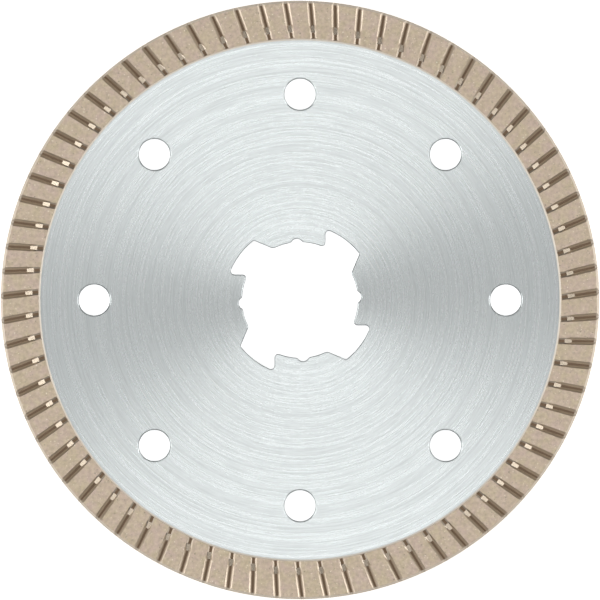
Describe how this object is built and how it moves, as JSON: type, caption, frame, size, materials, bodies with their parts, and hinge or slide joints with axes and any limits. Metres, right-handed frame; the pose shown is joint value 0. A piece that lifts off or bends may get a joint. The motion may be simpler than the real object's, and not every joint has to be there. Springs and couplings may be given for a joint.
{
  "type": "diamond blade",
  "caption": "Thin diamond cutting blade for an angle grinder: steel core with a star-shaped quick-change bore and cooling holes, and a continuous turbo rim.",
  "frame": {"origin": "on the spin axis at mid-thickness, which is the centre of the bounding box", "axes": "+Z along the spin axis, out of the front face; +Y towards one of the four quarter axes of the star bore, at the top as seen from the front"},
  "size_m": [0.115, 0.115, 0.0016],
  "materials": {
    "core_steel": "circular brushed",
    "bronze_bond": "ground, sintered in the grooves",
    "diamond": "crystal"
  },
  "bodies": {
    "root": {"steel_core": "core_steel", "sintered_rim": "bronze_bond", "diamonds_front_face": "diamond", "diamonds_back_face": "diamond", "diamonds_cutting_edge": "diamond"}
  },
  "joints": []
}
